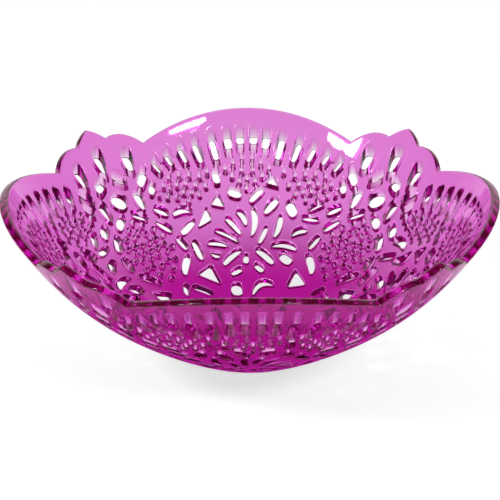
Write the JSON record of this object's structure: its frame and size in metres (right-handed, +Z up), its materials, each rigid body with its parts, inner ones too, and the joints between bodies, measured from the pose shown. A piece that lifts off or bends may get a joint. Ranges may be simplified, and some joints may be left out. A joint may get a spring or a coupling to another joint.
{
  "type": "pierced glass bowl",
  "caption": "Translucent magenta glass bowl with a scalloped rim, rounded sides pierced all over with petals, leaves and slots, and a small flat base to stand on.",
  "frame": {"origin": "centre of the flat base, on the surface that the bowl stands on", "axes": "+Z up through the middle of the bowl; +Y and +X each through the middle of a large rim lobe"},
  "size_m": [0.2296, 0.2296, 0.0845],
  "materials": {
    "magenta_glass": "polished, translucent, coloured through"
  },
  "bodies": {
    "root": {"glass_bowl": "magenta_glass"}
  },
  "joints": []
}
